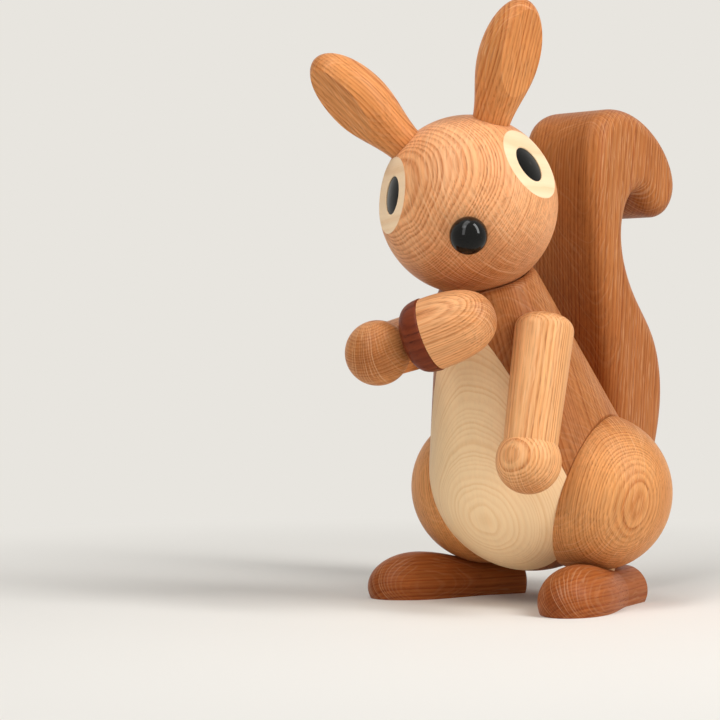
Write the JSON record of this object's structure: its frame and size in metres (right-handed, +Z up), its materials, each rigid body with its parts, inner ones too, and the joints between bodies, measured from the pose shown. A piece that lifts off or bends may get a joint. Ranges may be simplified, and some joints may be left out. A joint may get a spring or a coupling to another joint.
{
  "type": "wooden squirrel figurine",
  "caption": "Turned oak squirrel figurine with a pale maple belly, flat eye discs, a curled tail and an acorn on one hand; the head and the arms turn on dowels.",
  "frame": {"origin": "on the ground under the middle of the figure's overall length and breadth", "axes": "+Z up, -Y the way the body faces, +X the squirrel's left"},
  "size_m": [0.0848, 0.1264, 0.1694],
  "materials": {
    "oak_body": "oiled",
    "oak_head": "oiled",
    "oak_ear": "oiled",
    "oak_arm": "oiled",
    "oak_haunch": "oiled",
    "oak_foot": "oiled",
    "oak_tail": "oiled",
    "oak_acorn": "oiled",
    "maple_belly": "oiled",
    "maple_eye": "oiled",
    "black_gloss": "gloss",
    "walnut_cap": "oiled",
    "beech_dowel": "plain"
  },
  "bodies": {
    "trunk": {"body": "oak_body", "belly_panel": "maple_belly", "neck_dowel": "beech_dowel", "shoulder_dowel_left": "beech_dowel", "shoulder_dowel_right": "beech_dowel", "haunch_left": "oak_haunch", "haunch_right": "oak_haunch", "haunch_dowel_left": "beech_dowel", "haunch_dowel_right": "beech_dowel", "foot_left": "oak_foot", "foot_right": "oak_foot", "ankle_dowel_left": "beech_dowel", "ankle_dowel_right": "beech_dowel", "tail": "oak_tail", "tail_dowels": "beech_dowel"},
    "head": {"head": "oak_head", "nose": "black_gloss", "ear_left": "oak_ear", "ear_right": "oak_ear", "eye_disc_left": "maple_eye", "eye_disc_right": "maple_eye", "pupil_left": "black_gloss", "pupil_right": "black_gloss"},
    "arm_left": {"arm_left": "oak_arm"},
    "arm_right": {"arm_right": "oak_arm", "acorn_nut": "oak_acorn", "acorn_cap": "walnut_cap", "acorn_peg": "beech_dowel"}
  },
  "joints": [
    {"name": "neck_turn", "type": "hinge", "parent": "trunk", "child": "head", "pos_m": [0.00067, -0.02724, 0.11417], "axis": [0, -0.3746, 0.9272], "continuous": true},
    {"name": "arm_left_swing", "type": "hinge", "parent": "trunk", "child": "arm_left", "pos_m": [0.0181, -0.0187, 0.07791], "axis": [0.9151, -0.3777, 0.1411], "range_deg": [-18, 2]},
    {"name": "arm_right_swing", "type": "hinge", "parent": "trunk", "child": "arm_right", "pos_m": [-0.01786, -0.01639, 0.07635], "axis": [-0.9394, -0.2951, 0.1744], "range_deg": [-24, 6]}
  ]
}
